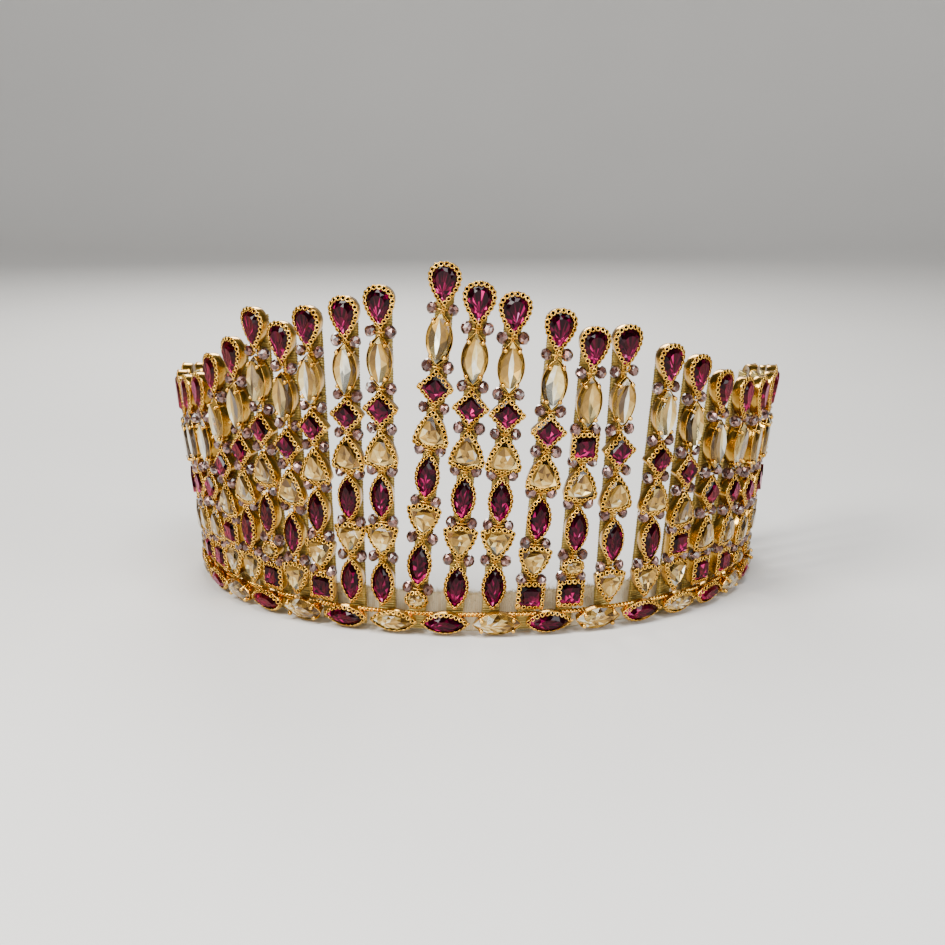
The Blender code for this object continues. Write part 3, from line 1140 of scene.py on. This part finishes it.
@dataclass(frozen=True)
class CutStone:
    """Faceted stone: girdle, two rows of crown facets and a flat table over a foiled back.

    The lift is added to the painted glow of its cut, so the whole stone is painted brighter.
    """

    outline: Outline
    rim: Rim
    depth: float = 3.2
    lift: float = 0.0

    def levels(self) -> tuple[tuple[float, float], ...]:
        """Where the stone's facets break.

        Returns:
            Inset and height of the girdle, of the break between crown rows, and of the table.
        """
        stone = self.outline.stone
        narrow = min(stone.half_width, stone.half_length)
        cut = CUTS[stone]
        if self.rim is Rim.CLAWS:
            return ((0.34, self.depth - 0.1), (narrow * cut.crown, self.depth + 0.70),
                    (narrow * cut.table, self.depth + 1.25))
        girdle = 0.80 if LACE[stone] is SLIM_LACE else 0.92
        crown = max(narrow * cut.crown + 0.15, girdle + 0.35)
        table = max(narrow * cut.table + 0.15, crown + 0.35)
        return ((girdle, self.depth - 0.30), (crown, self.depth + 0.45),
                (table, self.depth + 1.15))

    def build(self, solid: Solid, place: Place, slot: int, seed: int) -> None:
        """Add the stone to a piece.

        The crown is a band of triangles between rings that are turned by half a facet. The table
        is flat, but is divided so that each part can show a different facet of the foil.

        Args:
            solid: the piece being put together.
            place: plane of the cup's back.
            slot: number of the stone's material in the piece.
            seed: number that settles its small variations.
        """
        cut = CUTS[self.outline.stone]
        k = cut.facets
        t = self.outline.even(k)
        half = (t + np.append(t[1:], 1.0)) / 2.0
        girdle, crown, table = self.levels()
        focus = cut.focus * self.outline.stone.half_length
        core = self.outline.curve(half, table[0]) * np.array(cut.core)
        core[:, 1] += focus * 0.5
        rings = (
            (self.outline.curve(t, girdle[0]), girdle[1] - 0.5),
            (self.outline.curve(t, girdle[0]), girdle[1]),
            (self.outline.curve(half, crown[0]), crown[1]),
            (self.outline.curve(t, table[0]), table[1]),
            (core, table[1]),
        )
        rows = [np.column_stack([spots, np.full(k, height)]) for spots, height in rings]
        seat = [0.0, rows[0][:, 1].mean(), girdle[1] - 0.5]
        points = np.concatenate(rows + [[[0.0, focus, table[1]]], [seat]])
        here = np.arange(k)
        faces = [
            np.stack([ring * k + (here + step) % k for ring, step in corners], axis=-1)
            for corners in FACETS
        ]
        faces += [fan(k, 4 * k, 5 * k, False), fan(k, 0, 5 * k + 1, True)]
        middles = points[np.concatenate(faces)].mean(axis=1)
        step = np.tile(here, len(faces)) + np.repeat(np.arange(len(faces)), k)
        foil, painted_sparkle = self.foil(middles, np.where(step % 2 == 0, 1.0, -1.0), seed)
        solid.add(
            place.at(points), faces, slot=slot, painted_sparkle=painted_sparkle, facet=place.turn(foil), smooth=False
        )

    def foil(self, middles: Array, turns: Array, seed: int) -> tuple[Array, Array]:
        """Direction of the foil behind each face, and the painted brightness of the light off it.

        The foil tips towards the middle of the stone, as the cone of a cut stone's back does, and
        from face to face it swings to one side and to the other.

        Args:
            middles: middle of each face, across, up and out.
            turns: 1 or -1 for each face.
            seed: number that settles the small variations.

        Returns:
            Directions across, up and out, and a painted brightness from 0 to 1: painted light,
            brighter at the bottom and on every other face, darker at the top and at the sides.
        """
        draw = np.random.RandomState(seed)
        stone = self.outline.stone
        cut = CUTS[stone]
        w, l = stone.half_width, stone.half_length
        x = middles[:, 0] / w
        y = middles[:, 1] / l - cut.focus
        count = len(x)
        reach = np.clip(1.0 - np.abs(middles[:, 1] / l) ** 1.8, 0.2, 1.0)
        column = ((x / reach + 1.0) * FOIL_COLUMNS / 2.0).astype(int)
        column = np.clip(column, 0, FOIL_COLUMNS - 1)
        shared = draw.normal(0.0, 1.0, (FOIL_COLUMNS, 3))[column] * cut.streak
        own = draw.normal(0.0, 1.0, (count, 3)) * (1.0 - cut.streak)
        vary = shared + own
        inward = -cut.steep * np.column_stack([1.25 * x, y * (w / l) ** 0.6])
        aside = unit(np.column_stack([-y, x])) * (0.20 * (1.0 - cut.streak) * turns)[:, None]
        lean = inward + aside + vary[:, :2] * cut.spread
        direction = unit(np.column_stack([lean, np.ones(count)]))
        # Painted light: brighter towards the bottom, where the foil faces the lamps above, and
        # darker towards the top; every other face is painted a little brighter and the sides are
        # painted darker.
        swing = 0.16 * (1.0 - cut.streak) * turns
        painted_light_fall = 0.50 * y * (1.0 - 0.5 * cut.streak)
        painted_sparkle = cut.glow + self.lift - painted_light_fall + swing - cut.edge * x ** 2
        return direction, np.clip(painted_sparkle + vary[:, 2] * cut.contrast, 0.0, 1.0)


@dataclass(frozen=True)
class Bead:
    """Faceted rondelle: rings of facets round its thread, turned by half a facet in turn."""

    radius: float = 1.9
    half_length: float = 1.5
    facets: int = 8

    def build(self, solid: Solid, place: Place, slot: int, seed: int) -> None:
        """Add the bead to a piece, its hole across the plane.

        Args:
            solid: the piece being put together.
            place: plane through its middle.
            slot: number of its material in the piece.
            seed: number that settles its small variations.
        """
        draw = np.random.RandomState(seed)
        k = self.facets
        grown = draw.uniform(0.94, 1.07)
        reach = np.array([-1.0, -0.58, 0.0, 0.58, 1.0]) * self.half_length * grown
        size = np.array([0.34, 0.82, 1.0, 0.82, 0.34]) * self.radius * grown
        twist = draw.uniform(0.0, TURN)
        rows = []
        for step, (along, radius) in enumerate(zip(reach, size)):
            turn = angles(k) + twist + (step % 2) * math.pi / k
            rows.append(
                np.column_stack([np.full(k, along), radius * np.cos(turn), radius * np.sin(turn)])
            )
        points = np.concatenate(rows + [[[reach[0] * 0.9, 0, 0]], [[reach[-1] * 0.9, 0, 0]]])
        here = np.arange(k)
        after = (here + 1) % k
        faces = []
        for step in range(4):
            low, high = step * k, (step + 1) * k
            near, far = (here, after) if step % 2 == 0 else (after, here)
            faces.append(np.stack([low + here, low + after, high + near], axis=-1))
            faces.append(np.stack([low + far, high + after, high + here], axis=-1))
        faces += [fan(k, 0, 5 * k, False), fan(k, 4 * k, 5 * k + 1, True)]
        one, two, three = points[np.concatenate(faces)].transpose(1, 0, 2)
        normal = unit(np.cross(two - one, three - one))
        foil = unit(normal + draw.normal(0.0, 0.22, normal.shape))
        # Painted sparkle: a random painted brightness for each facet, standing in for the light off
        # it.
        painted_sparkle = np.clip(draw.normal(0.45, 0.25, len(normal)), 0.0, 1.0)
        spun = place.spun(draw.uniform(-25.0, 25.0))
        solid.add(
            spun.at(points), faces, slot=slot, painted_sparkle=painted_sparkle, facet=spun.turn(foil), smooth=False
        )


# ---------------------------------------------------------------- the crown's parts


@dataclass(frozen=True)
class Layout:
    """Where things stand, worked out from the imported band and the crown's fixed sizes.

    The face radius is that of the strips' fronts at floor level. The flare is how far the spires
    lean outwards and the row's tilt how far its stones face down, both in degrees. The back scale
    is the size of a cup's back over that of its rim.
    """

    centre: Array
    face_radius: float = 82.1
    flare: float = 8.0
    row_standoff: float = 2.1
    row_tilt: float = 20.0
    row_depth: float = 2.8
    row_gap: float = 0.65
    floor_gap: float = 0.5
    back_scale: float = 0.82

    @property
    def row_back(self) -> float:
        """Height of the middle of the base navettes' backs, whose cups clear the floor."""
        tilt = math.radians(self.row_tilt)
        half = Stone.NAVETTE.half_width
        return self.floor_gap + half * math.cos(tilt) + self.row_depth * math.sin(tilt)

    @property
    def row_top(self) -> float:
        """Height of the upper edge of the base navettes' backs."""
        half = Stone.NAVETTE.half_width * self.back_scale
        return self.row_back + half * math.cos(math.radians(self.row_tilt))

    @property
    def foot(self) -> float:
        """Distance along a spire's slope from the floor to the foot of its stones."""
        return (self.row_top + self.row_gap) / math.cos(math.radians(self.flare))

    def outward(self, degrees: Array | float) -> Array:
        """Level directions away from the hoop's axis.

        Args:
            degrees: angles along the hoop.

        Returns:
            A direction for each.
        """
        angle = np.radians(degrees)
        return np.stack([np.sin(angle), -np.cos(angle), 0.0 * angle], axis=-1)

    def hoop(self, degrees: Array | float, radius: Array | float, height: Array | float) -> Array:
        """Points around the hoop's axis.

        Args:
            degrees: angles along the hoop.
            radius: distances from the axis.
            height: heights over the floor.

        Returns:
            A point for each angle.
        """
        angle = np.radians(degrees)
        x = radius * np.sin(angle) + self.centre[0]
        y = -radius * np.cos(angle) + self.centre[1]
        return np.stack([x, y, np.broadcast_to(height, np.shape(x))], axis=-1)

    def spire(self, foot: float, top: float, height: float) -> tuple[Place, float]:
        """Plane of a spire, with its origin at floor level.

        Args:
            foot: angle along the hoop at its foot.
            top: angle along the hoop at its top.
            height: height of its top.

        Returns:
            The plane, and the spire's length along it.
        """
        low = self.hoop(foot, self.face_radius, 0.0)
        rise = math.tan(math.radians(self.flare))
        high = self.hoop(top, self.face_radius + height * rise, height)
        up = unit(high - low)
        outward = self.outward((foot + top) / 2.0)
        out = unit(outward - up * outward.dot(up))
        return Place(low, np.cross(up, out), up, out), float(np.linalg.norm(high - low))

    def row(self, degrees: float) -> Place:
        """Plane of one navette of the base row, with its length along the hoop.

        Args:
            degrees: the navette's angle along the hoop.

        Returns:
            The plane.
        """
        outward = self.outward(degrees)
        along = np.cross(UPWARD, outward)
        dip = math.radians(self.row_tilt)
        out = outward * math.cos(dip) - UPWARD * math.sin(dip)
        origin = self.hoop(degrees, self.face_radius + self.row_standoff, self.row_back)
        return Place(origin, np.cross(along, out), along, out)


def measure_layout() -> Layout:
    """Read the hoop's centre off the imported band, a radius behind the band's front.

    Returns:
        The layout.
    """
    low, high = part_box("band")
    return Layout(np.array([(low.x + high.x) / 2.0 / MM, low.y / MM + HOOP_RADIUS, 0.0]))


@dataclass(frozen=True)
class Spire:
    """One spire: cups and stones one above the other, with a pair of beads at each seam.

    The clearance lies between the strip's face and the cups. The tilt is the spread of the angles
    at which the stones are glued in, in degrees. Distances out are from the strip's face.
    """

    number: int
    place: Place
    length: float
    stones: tuple[Stone, ...]
    foot: float
    clearance: float = 0.3
    bead_side: float = 2.95
    bead_out: float = 2.1
    tilt: float = 2.6
    stitch_reach: float = 1.6
    stitch_out: float = 2.5
    spine_width: float = 1.6
    spine_out: float = 1.5
    spine_pitch: float = 0.75

    def centres(self) -> tuple[Array, float]:
        """Share the spire's length out among its stones.

        Returns:
            Places of the stones along the spire, and the gap between them.
        """
        halves = np.array([stone.half_length for stone in self.stones])
        gap = (self.length - self.foot - 2.0 * halves.sum()) / (len(halves) - 1)
        above = np.concatenate([[0.0], np.cumsum(2.0 * halves + gap)[:-1]])
        return self.length - above - halves, gap

    def build(self, gold: Material, glasses: Sequence[Material]) -> tuple[Object, Object]:
        """Make the spire's settings and its stones and beads.

        Args:
            gold: metal of the cups.
            glasses: the glasses by number.

        Returns:
            The piece with the settings and the piece with the stones.
        """
        settings, stones = Solid(), Solid()
        centres, gap = self.centres()
        draw = np.random.RandomState(Seed.LEANS + self.number)
        for index, (stone, middle) in enumerate(zip(self.stones, centres)):
            rim = Rim.CLAWS if stone is Stone.LONG else Rim.LACE
            spot = self.place.moved(0.0, middle, self.clearance)
            Cup(OUTLINES[stone], rim).build(settings, spot)
            leaned = spot.leaned(*np.radians(draw.normal(0.0, self.tilt, 2)))
            seed = Seed.STONES * self.number + index
            CutStone(OUTLINES[stone], rim).build(stones, leaned, GLASS_OF[stone], seed)
        for index, (stone, middle) in enumerate(zip(self.stones[:-1], centres[:-1])):
            seam = middle - stone.half_length - gap / 2.0
            for side in (0, 1):
                spot = self.place.moved((2 * side - 1) * self.bead_side, seam, self.bead_out)
                seed = Seed.BEADS + 100 * self.number + 2 * index + side
                Bead().build(stones, spot, Glass.BEAD, seed)
            self.stitch(settings, seam)
        self.spine(settings, centres[-1], centres[0])
        name = f"{self.number:02d}"
        node = f"stack_{name}"
        return (
            settings.to_piece(f"setting_{name}", [gold], "ruby_in_gold", node),
            stones.to_piece(f"stones_{name}", glasses, "ruby_in_gold", node),
        )

    def stitch(self, solid: Solid, seam: float) -> None:
        """Thread that ties a pair of beads down, as a shallow arch from bead to bead.

        Args:
            solid: the piece being put together.
            seam: place of the beads along the spire.
        """
        step = np.linspace(-1.0, 1.0, 9)
        arch = self.stitch_out + 0.45 * (1.0 - step ** 2)
        path = np.column_stack([step * self.stitch_reach, np.full(9, seam), arch])
        points, faces = tube(path, 0.26, 6)
        solid.add(self.place.at(points), faces, tone_and_painted_shade=0.25)

    def spine(self, solid: Solid, low: float, high: float) -> None:
        """Narrow wound bar behind the cups: a rounded bar with a ridge for each turn.

        Args:
            solid: the piece being put together.
            low: place of its lower end along the spire.
            high: place of its upper end along the spire.
        """
        up = np.linspace(low, high, int((high - low) / 0.25))[:, None]
        swell = 0.50 + 0.06 * np.cos(up / self.spine_pitch * TURN)
        turn = angles(8)
        across = self.spine_width * swell * np.cos(turn)
        ring = [across, up + 0.0 * turn, self.spine_out + swell * np.sin(turn)]
        points, faces = capped(np.stack(ring, axis=-1), flip=True)
        solid.add(self.place.at(points), faces, tone_and_painted_shade=0.45)


@dataclass(frozen=True)
class Winding:
    """Flat bar wound with thread, made as rings of points.

    The section is a superellipse. Its size swells and shrinks once a turn of thread, by the
    absolute value of a sine, so that each turn stands up as a round ridge with a sharp valley
    beside it. The rings lean, so that the turns cross the face at a slant.

    The width and the depth are measured over the ridges. The pitch is the distance from turn to
    turn, the bulge is the height of a ridge, the slant is how far a ring leans along the bar from
    edge to edge, and around is the number of points in a ring.
    """

    width: float
    depth: float
    pitch: float
    bulge: float
    slant: float
    around: int
    seed: int
    power: float = 0.4
    cap_tint: float = 0.3

    def rings(self, along: Array) -> tuple[Array, Array]:
        """Make the rings.

        Args:
            along: place of each ring along the bar.

        Returns:
            Points across, along and out for each ring, and the shades of all the points, with
            those of two end caps last.
        """
        draw = np.random.RandomState(self.seed)
        turn = angles(self.around, 0.5)
        phase = along / self.pitch
        number = np.floor(phase).astype(int)
        number -= number.min()
        jitter = draw.normal(0.0, 1.0, number.max() + 2)[number]
        ridge = np.abs(np.sin(math.pi * phase)) ** 0.8
        size = (self.bulge * (1.0 - ridge) + 0.16 * self.bulge * np.abs(jitter))[:, None]
        x, y = (np.sign(side) * np.abs(side) ** self.power for side in (np.cos(turn), np.sin(turn)))
        ring = [
            (self.width / 2.0 - size) * x,
            along[:, None] + self.slant / 2.0 * x,
            (self.depth / 2.0 - size) * y,
        ]
        # Painted shade: darker in the valleys between turns, lighter on the ridges; the jitter
        # gives each turn its own tone.
        shade = np.clip(0.35 + 0.55 * ridge + 0.16 * jitter, 0.0, 1.0)
        shades = np.append(np.repeat(shade, self.around), [self.cap_tint] * 2)
        return np.stack(ring, axis=-1), shades


@dataclass(frozen=True)
class WoundStrip:
    """Upright wound with gold thread behind one spire."""

    number: int
    place: Place
    length: float
    width: float = 5.2
    depth: float = 1.6
    foot: float = 1.0
    setback: float = 3.0
    end_gap: float = 0.25
    pitch: float = 0.78
    bulge: float = 0.22
    slant: float = 0.35
    around: int = 16

    def build(self, thread: Material) -> Object:
        """Make the strip.

        Args:
            thread: the winding's material.

        Returns:
            The piece.
        """
        low, high = self.foot + self.end_gap, self.length - self.setback - self.end_gap
        along = np.linspace(low, high, int((high - low) / self.pitch * 5))
        points, shade = Winding(
            self.width, self.depth, self.pitch, self.bulge, self.slant, self.around,
            Seed.STRIPS + self.number,
        ).rings(along)
        solid = Solid()
        local = points - UPWARD * self.depth / 2.0
        solid.add(*capped(self.place.at(local), flip=True), tone_and_painted_shade=shade)
        name = f"{self.number:02d}"
        return solid.to_piece(f"wound_strip_{name}", [thread], "gold_thread", f"strip_{name}")


@dataclass(frozen=True)
class Hoop:
    """The band: an open hoop wound upright with cream thread."""

    layout: Layout
    start: float = -107.5
    end: float = 112.5
    outer: float = HOOP_RADIUS
    thickness: float = 2.0
    height: float = 11.5
    end_gap: float = 0.15
    pitch: float = 0.62
    bulge: float = 0.20
    slant: float = 0.25
    around: int = 20

    def build(self, thread: Material) -> Object:
        """Make the hoop.

        Args:
            thread: the winding's material.

        Returns:
            The piece.
        """
        radius = self.outer - self.thickness / 2.0
        span = math.radians(self.end - self.start) * radius
        along = np.linspace(self.end_gap, span - self.end_gap, int(span / self.pitch * 4))
        points, shade = Winding(
            self.height, self.thickness, self.pitch, self.bulge, self.slant, self.around,
            Seed.HOOP,
        ).rings(along)
        high, way, out = points.transpose(2, 0, 1)
        degrees = np.clip(self.start + np.degrees(way / radius), self.start, self.end)
        solid = Solid()
        spots = self.layout.hoop(degrees, radius + out, self.height / 2.0 + high)
        solid.add(*capped(spots), tone_and_painted_shade=shade)
        return solid.to_piece("wound_hoop", [thread], "cream_thread", "band")


@dataclass(frozen=True)
class Fuzz:
    """Loose fibres that stand off the hoop's thread, most of them along its upper edge."""

    layout: Layout
    count: int = 6000
    radius: float = 0.065
    span: tuple[float, float] = (-107.0, 112.0)
    upper_share: float = 0.7
    edge_height: float = 11.3
    edge_radii: tuple[float, float] = (78.3, 79.8)
    face_heights: tuple[float, float] = (8.2, 11.2)
    face_radius: float = 79.85

    def build(self, thread: Material) -> Object:
        """Make the fibres, each a bent three-sided tube of four rings.

        Args:
            thread: the fibres' material.

        Returns:
            The piece.
        """
        draw = np.random.RandomState(Seed.FUZZ)
        degrees = draw.uniform(*self.span, self.count)
        high = draw.uniform(0.0, 1.0, self.count) < self.upper_share
        height = np.where(high, self.edge_height, draw.uniform(*self.face_heights, self.count))
        away = np.where(high, draw.uniform(*self.edge_radii, self.count), self.face_radius)
        length = draw.gamma(3.0, 0.36, self.count)[:, None, None]
        outward = self.layout.outward(degrees)
        along = np.cross(UPWARD, outward)
        lean = draw.normal(0.0, 0.7, (self.count, 2))
        rise = np.where(high, 1.0, 0.25)[:, None] * UPWARD
        first = unit(rise + outward * np.where(high, 0.2, 0.8)[:, None] + along * lean[:, :1])
        bend = unit(along * lean[:, 1:] + outward * 0.5)
        root = self.layout.hoop(degrees, away, height)[:, None]
        step = np.linspace(0.0, 1.0, 4)[:, None]
        line = root + length * (first[:, None] * step + bend[:, None] * 0.6 * step ** 2)
        other = unit(np.cross(first, bend))
        ring = spokes(other, np.cross(first, other), angles(3))[:, None]
        size = self.radius * np.array([1.0, 0.9, 0.7, 0.3])[:, None, None]
        points = line[:, :, None] + ring * size
        caps = np.array([[2, 1, 0], [9, 10, 11]])
        tone_and_painted_shade = np.repeat(draw.uniform(0.6, 1.0, self.count), 12)
        solid = Solid()
        faces = [copies(part, self.count, 12) for part in (grid_quads(4, 3), caps)]
        solid.add(points, faces, tone_and_painted_shade=tone_and_painted_shade)
        return solid.to_piece("hoop_fuzz", [thread], "cream_thread", "band")


@dataclass(frozen=True)
class BaseRow:
    """Row of sideways navettes and the twisted gold cord that edges it."""

    layout: Layout
    first: float = -100.0
    step: float = 10.0
    count: int = 22
    pale_lift: float = 0.34
    cord_drop: float = 1.35
    cord_setback: float = 0.9
    strand_offset: float = 0.36
    strand_radius: float = 0.42
    cord_pitch: float = 2.4

    def build(self, gold: Material, glasses: Sequence[Material]) -> list[Object]:
        """Make the row's settings, stones and cord.

        Args:
            gold: metal of the cups and cord.
            glasses: the glasses by number.

        Returns:
            The three pieces.
        """
        settings, stones, cord = Solid(), Solid(), Solid()
        outline = OUTLINES[Stone.NAVETTE]
        depth = self.layout.row_depth
        for index in range(self.count):
            place = self.layout.row(self.first + self.step * index)
            ruby = index % 2 == 0
            rim = Rim.LACE if ruby or index % 3 == 0 else Rim.CLAWS
            # Champagne stones are paler glass; their painted sparkle is also lifted, so they are
            # painted brighter.
            glass, lift = (Glass.RUBY, 0.0) if ruby else (Glass.CHAMPAGNE, self.pale_lift)
            Cup(outline, rim, depth).build(settings, place)
            CutStone(outline, rim, depth, lift).build(stones, place, glass, Seed.ROW + index)
        self.twist(cord)
        return [
            settings.to_piece("row_setting", [gold], "row_in_gold", "base_row"),
            stones.to_piece("row_stones", glasses[:2], "row_in_gold", "base_row"),
            cord.to_piece("edging_cord", [gold], "row_in_gold", "base_row"),
        ]

    def twist(self, solid: Solid) -> None:
        """Two strands wound round each other along the hoop.

        Args:
            solid: the piece being put together.
        """
        radius = self.layout.face_radius + self.layout.row_standoff + self.cord_setback
        height = self.layout.row_top - self.cord_drop
        sweep = self.step * (self.count - 1)
        span = math.radians(sweep) * radius
        along = np.linspace(0.0, 1.0, int(span / 0.30))
        for start in (0.0, math.pi):
            phase = along * span / self.cord_pitch * TURN + start
            out = radius + self.strand_offset * np.cos(phase)
            rise = height + self.strand_offset * np.sin(phase)
            centre = self.layout.hoop(self.first + sweep * along, out, rise)
            solid.add(*tube(centre, self.strand_radius, 7), tone_and_painted_shade=0.05)


# ---------------------------------------------------------------- studio


@dataclass(frozen=True)
class Lamp:
    """Soft square lamp that faces the crown, placed and sized in millimetres."""

    name: str
    spot: Triple
    size: float
    watts: float
    colour: Triple
    aim: float = 50.0

    def build(self) -> None:
        """Make the lamp."""
        light = bpy.data.lights.new(self.name, "AREA")
        light.size = self.size * MM
        light.energy = self.watts
        light.color = self.colour
        lamp = new_object(self.name, light)
        x, y, z = self.spot
        lamp.location = np.array(self.spot) * MM
        lamp.rotation_euler = (math.atan2(math.hypot(x, y), z - self.aim), 0.0, math.atan2(x, -y))


LAMPS = (
    Lamp("key", (-380.0, -560.0, 620.0), 320.0, 11.0, (1.0, 0.97, 0.92)),
    Lamp("fill", (620.0, -420.0, 300.0), 320.0, 3.2, (0.95, 0.97, 1.0)),
    Lamp("top", (140.0, -380.0, 760.0), 340.0, 6.5, WHITE),
    Lamp("low", (-120.0, -760.0, 110.0), 300.0, 1.5, (1.0, 0.98, 0.95)),
    Lamp("rim", (-150.0, 620.0, 420.0), 300.0, 4.0, (1.0, 0.98, 0.94)),
)


@dataclass(frozen=True)
class Studio:
    """Pale floor, soft lamps and the camera."""

    layout: Layout
    distance: float = 696.0
    aside: float = 74.3
    camera_height: float = 180.0
    pitch: float = 12.1
    swing: float = 6.2
    lens: float = 84.8
    floor_reach: float = 7000.0
    curve_start: float = 900.0
    curve_radius: float = 400.0
    wall_height: float = 2600.0

    def floor(self, paper: Material) -> None:
        """Seamless sweep: a flat floor that curves up behind the crown.

        Args:
            paper: its material.
        """
        across = np.linspace(-self.floor_reach, self.floor_reach, 13)
        lean = np.linspace(0.0, 1.0, 13) * math.pi / 2.0
        wall = self.curve_start + self.curve_radius
        curve = self.curve_start + self.curve_radius * np.sin(lean)
        back = np.concatenate([[-self.floor_reach, -800.0, 0.0, 600.0], curve, [wall]])
        rise = self.curve_radius * (1.0 - np.cos(lean))
        high = np.concatenate([np.zeros(4), rise, [self.wall_height]])
        back, side = np.meshgrid(back, across, indexing="ij")
        spots = np.stack([side, back, np.broadcast_to(high[:, None], side.shape)], axis=-1)
        mesh = bpy.data.meshes.new("sweep")
        quads = grid_quads(len(high), 13, wrap=False)
        mesh.from_pydata((spots.reshape(-1, 3) * MM).tolist(), [], quads.tolist())
        mesh.polygons.foreach_set("use_smooth", np.ones(len(quads), dtype=bool))
        mesh.materials.append(paper)
        new_object("sweep", mesh)

    def build(self, paper: Material) -> None:
        """Make the floor, the lamps, the sky and the camera.

        Args:
            paper: the floor's material.
        """
        self.floor(paper)
        for lamp in LAMPS:
            lamp.build()
        world = bpy.data.worlds.new("sky")
        world.use_nodes = True
        sky = world.node_tree.nodes["Background"]
        sky.inputs["Color"].default_value = (0.62, 0.64, 0.68, 1.0)
        sky.inputs["Strength"].default_value = 0.12
        bpy.context.scene.world = world
        camera = bpy.data.cameras.new("camera")
        camera.lens = self.lens
        camera.sensor_width = 36.0
        camera.clip_start = 0.01
        camera.clip_end = 20.0
        holder = new_object("camera", camera)
        x, y, _ = self.layout.centre
        holder.location = np.array([x + self.aside, y - self.distance, self.camera_height]) * MM
        holder.rotation_euler = (math.radians(90.0 - self.pitch), 0.0, math.radians(self.swing))
        bpy.context.scene.camera = holder


# ---------------------------------------------------------------- putting it together


def report_fit(node: str, parts: Sequence[Object]) -> None:
    """Log how far the pieces that stand for a node reach outside its box.

    Args:
        node: the CAD node.
        parts: the pieces.
    """
    low, high = (np.array(corner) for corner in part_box(node))
    spots = []
    for part in parts:
        flat = np.empty(len(part.data.vertices) * 3, dtype=np.float32)
        part.data.vertices.foreach_get("co", flat)
        spots.append(flat.reshape(-1, 3))
    joined = np.concatenate(spots)
    under = np.round((low - joined.min(axis=0)) / MM, 2)
    over = np.round((joined.max(axis=0) - high) / MM, 2)
    LOG.info("%s: under by %s, over by %s mm", node, under, over)


def main() -> None:
    """Build the crown's pieces in order, then the studio."""
    logging.basicConfig(level=logging.INFO, format="%(name)s %(message)s")
    gold = AntiqueGold().build()
    glasses = [glass.build() for glass in (RUBY, CHAMPAGNE, MAUVE)]
    gold_thread = GOLD_THREAD.build()
    cream_thread = CREAM_THREAD.build()
    layout = measure_layout()
    hoop = Hoop(layout).build(cream_thread)
    Fuzz(layout).build(cream_thread)
    report_fit("band", [hoop])
    report_fit("base_row", BaseRow(layout).build(gold, glasses))
    for number, (low, high, height, stones) in enumerate(SPIRES, start=1):
        place, length = layout.spire(low, high, height)
        strip = WoundStrip(number, place, length).build(gold_thread)
        report_fit(f"strip_{number:02d}", [strip])
        pair = Spire(number, place, length, stones, layout.foot).build(gold, glasses)
        report_fit(f"stack_{number:02d}", pair)
    Studio(layout).build(StudioPaper().build())


if __name__ == "__main__":
    main()
